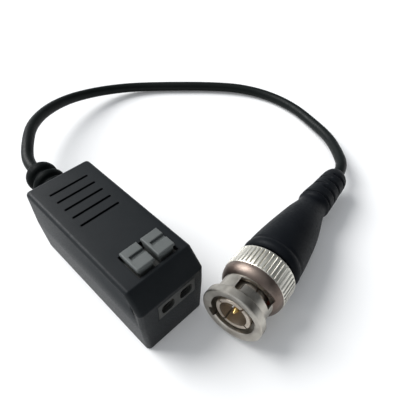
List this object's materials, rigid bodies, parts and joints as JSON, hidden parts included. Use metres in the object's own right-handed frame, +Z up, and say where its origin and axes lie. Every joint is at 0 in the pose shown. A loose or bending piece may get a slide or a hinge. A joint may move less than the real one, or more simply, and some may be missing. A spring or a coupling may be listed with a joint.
{
  "type": "cctv video balun",
  "caption": "Small two-part plastic video balun with a push terminal for a twisted pair at one end and a short coaxial pigtail with a bayonet plug at the other.",
  "frame": {"origin": "middle of the box's underside", "axes": "+Z up, +Y along the box from the terminal end to the cable end, X across the box"},
  "size_m": [0.0917, 0.0981, 0.0198],
  "materials": {
    "shell": "fine spark-eroded texture",
    "lever": "smooth moulded",
    "terminal": "smooth moulded",
    "contact": "tinned brass",
    "spring": "spring steel",
    "board": "solder mask",
    "ferrite": "sintered ferrite",
    "winding": "enamelled copper wire",
    "diode": "moulded package",
    "chip": "ceramic",
    "relief": "soft moulding",
    "cable": "smooth flexible sheath",
    "core": "insulation",
    "screen": "twisted copper",
    "boot": "soft moulding, matte",
    "plug": "bright nickel plating",
    "nut": "bright nickel plating",
    "dielectric": "smooth moulded",
    "pin": "gold plating",
    "gasket": "silicone",
    "washer": "spring steel",
    "ferrule": "nickel plating"
  },
  "bodies": {
    "balun": {"upper_shell": "shell", "lower_shell": "shell", "terminal_block": "terminal", "contact_left": "contact", "contact_right": "contact", "clamp_spring_left": "spring", "clamp_spring_right": "spring", "circuit_board": "board", "transformer_core": "ferrite", "transformer_winding": "winding", "surge_diode": "diode", "chip_capacitors": "chip", "strain_relief": "relief", "cable_core": "core", "cable_screen": "screen", "cable": "cable", "boot": "boot", "plug_body": "plug", "dielectric": "dielectric", "centre_pin": "pin", "plug_core": "core", "spring_washer": "washer", "retaining_ring": "washer", "gasket": "gasket", "ferrule": "ferrule"},
    "lever_left": {"lever_left": "lever"},
    "lever_right": {"lever_right": "lever"},
    "nut_carrier": {"thrust_washer": "washer"},
    "nut": {"coupling_nut": "nut"}
  },
  "joints": [
    {"name": "lever_left_press", "type": "slide", "parent": "balun", "child": "lever_left", "axis": [0, 0, -1], "range_m": [0, 0.0013], "stiffness_N_per_m": 2500, "deforming": ["clamp_spring_left"]},
    {"name": "lever_right_press", "type": "slide", "parent": "balun", "child": "lever_right", "axis": [0, 0, -1], "range_m": [0, 0.0013], "stiffness_N_per_m": 2500, "deforming": ["clamp_spring_right"]},
    {"name": "nut_draw", "type": "slide", "parent": "balun", "child": "nut_carrier", "axis": [-0.9857, -0.1607, 0.0513], "range_m": [0, 0.0006], "stiffness_N_per_m": 8000, "deforming": ["spring_washer"]},
    {"name": "nut_turn", "type": "hinge", "parent": "nut_carrier", "child": "nut", "pos_m": [0.01245, -0.02702, 0.00764], "axis": [-0.9857, -0.1607, 0.0513], "continuous": true}
  ]
}
